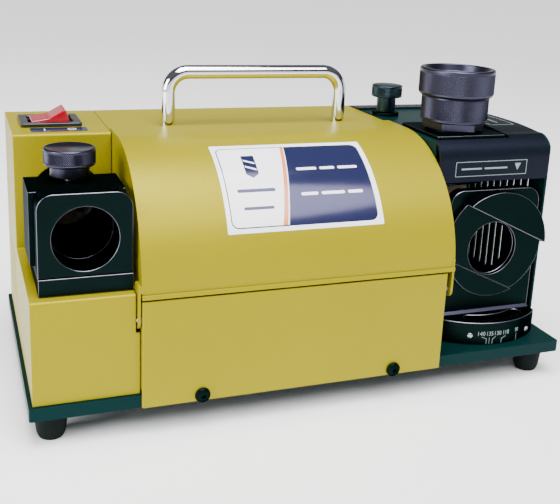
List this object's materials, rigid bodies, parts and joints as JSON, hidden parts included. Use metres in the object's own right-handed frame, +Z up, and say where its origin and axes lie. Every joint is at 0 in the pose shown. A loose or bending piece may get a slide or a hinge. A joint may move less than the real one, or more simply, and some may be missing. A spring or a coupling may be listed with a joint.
{
  "type": "drill bit sharpener",
  "caption": "Bench drill bit sharpener: yellow motor hood with chrome handle, left thinning port, right point-angle turret, rocker switch and a knurled collet chuck on a black base.",
  "frame": {"origin": "centre of the footprint at the level the feet stand on", "axes": "+Z up, +X to the operator's right, the ports face -Y"},
  "size_m": [0.32, 0.169, 0.1865],
  "materials": {
    "yellow_paint": "textured powder coat, semi-gloss",
    "black_paint": "wrinkle powder coat, satin",
    "blackened_steel": "black oxide, satin",
    "knurled_steel": "burnished, knurled",
    "chrome": "polished chrome plate",
    "bright_steel": "ground",
    "foot_rubber": "moulded, matte",
    "black_plastic": "moulded, semi-gloss",
    "red_lens": "clear red moulding",
    "cast_alloy": "die cast",
    "winding": "varnished copper winding",
    "wheel_grit": "bonded abrasive"
  },
  "bodies": {
    "machine": {"base_plate": "black_paint", "right_housing": "black_paint", "side_cover": "black_paint", "seat_plate": "black_paint", "partition": "black_paint", "foot_front_left": "foot_rubber", "foot_front_right": "foot_rubber", "foot_rear_left": "foot_rubber", "foot_rear_right": "foot_rubber", "cable_gland": "foot_rubber", "left_casing": "yellow_paint", "top_cover": "yellow_paint", "front_panel": "yellow_paint", "switch_frame": "black_plastic", "port_foot": "blackened_steel", "port_block": "blackened_steel", "guide_block": "blackened_steel", "guide_tube": "blackened_steel", "panel_screw_left": "blackened_steel", "panel_screw_right": "blackened_steel", "seat_pad": "blackened_steel", "seat_sleeve": "blackened_steel", "stop_collar": "blackened_steel", "clamp_screw": "blackened_steel", "carry_handle": "chrome", "handle_nut_left": "bright_steel", "handle_nut_right": "bright_steel", "hood_pin_left": "bright_steel", "hood_pin_right": "bright_steel", "turret_pivot": "bright_steel", "bearing_left": "bright_steel", "bearing_right": "bright_steel", "motor_can": "cast_alloy", "motor_bell_left": "cast_alloy", "motor_bell_right": "cast_alloy", "motor_saddle_left": "cast_alloy", "motor_saddle_right": "cast_alloy", "motor_stator": "winding"},
    "rocker": {"switch_rocker": "red_lens"},
    "thinning_spindle": {"thinning_spindle": "bright_steel"},
    "thinning_knob": {"thinning_knob": "knurled_steel"},
    "hood": {"arc_hood": "yellow_paint"},
    "chuck": {"chuck_body": "knurled_steel", "chuck_hex": "knurled_steel", "chuck_nut": "blackened_steel", "collet": "bright_steel"},
    "chuck_ring": {"chuck_ring": "knurled_steel"},
    "stop_arm": {"stop_arm": "bright_steel"},
    "stop_knob": {"stop_knob": "knurled_steel"},
    "turret": {"turret": "blackened_steel", "port_plate": "blackened_steel", "cam_head": "blackened_steel"},
    "rotor": {"motor_shaft": "bright_steel", "rotor_core": "bright_steel", "thinning_wheel": "wheel_grit", "point_wheel": "wheel_grit", "wheel_nut_left": "bright_steel", "wheel_nut_right": "bright_steel", "wheel_flange_left": "bright_steel", "wheel_flange_right": "bright_steel"}
  },
  "joints": [
    {"name": "rocker_tilt", "type": "hinge", "parent": "machine", "child": "rocker", "pos_m": [-0.1345, 0.0408, 0.143], "axis": [0, 1, 0], "range_deg": [0, 20]},
    {"name": "thinning_depth", "type": "slide", "parent": "machine", "child": "thinning_spindle", "axis": [0, 0, -1], "range_m": [0, 0.00199]},
    {"name": "thinning_knob_turn", "type": "hinge", "parent": "thinning_spindle", "child": "thinning_knob", "pos_m": [-0.1316, -0.0307, 0.131], "axis": [0, 0, -1], "range_deg": [0, 720]},
    {"name": "hood_tilt", "type": "hinge", "parent": "machine", "child": "hood", "pos_m": [-0.103, -0.0771, 0.0646], "axis": [1, 0, 0], "range_deg": [0, 75]},
    {"name": "chuck_lift", "type": "slide", "parent": "machine", "child": "chuck", "axis": [0, 0, 1], "range_m": [0, 0.07]},
    {"name": "chuck_ring_turn", "type": "hinge", "parent": "chuck", "child": "chuck_ring", "pos_m": [0.105, -0.0227, 0.1698], "axis": [0, 0, 1], "range_deg": [0, 360]},
    {"name": "stop_height", "type": "slide", "parent": "machine", "child": "stop_arm", "axis": [0, 0, -1], "range_m": [0, 0.00199]},
    {"name": "stop_knob_turn", "type": "hinge", "parent": "machine", "child": "stop_knob", "pos_m": [0.0892, 0.0393, 0.1487], "axis": [0, 0, -1], "range_deg": [0, 720]},
    {"name": "turret_swivel", "type": "hinge", "parent": "machine", "child": "turret", "pos_m": [0.1195, -0.0257, 0.0234], "axis": [0, 0, 1], "range_deg": [-20, 5]},
    {"name": "motor_spin", "type": "hinge", "parent": "machine", "child": "rotor", "pos_m": [-0.014, 0.0313, 0.088], "axis": [1, 0, 0], "continuous": true}
  ],
  "couplings": [
    {"joint": "thinning_knob_turn", "follows": "thinning_depth", "rad_per_m": 6283.2},
    {"joint": "stop_knob_turn", "follows": "stop_height", "rad_per_m": 6283.2}
  ]
}
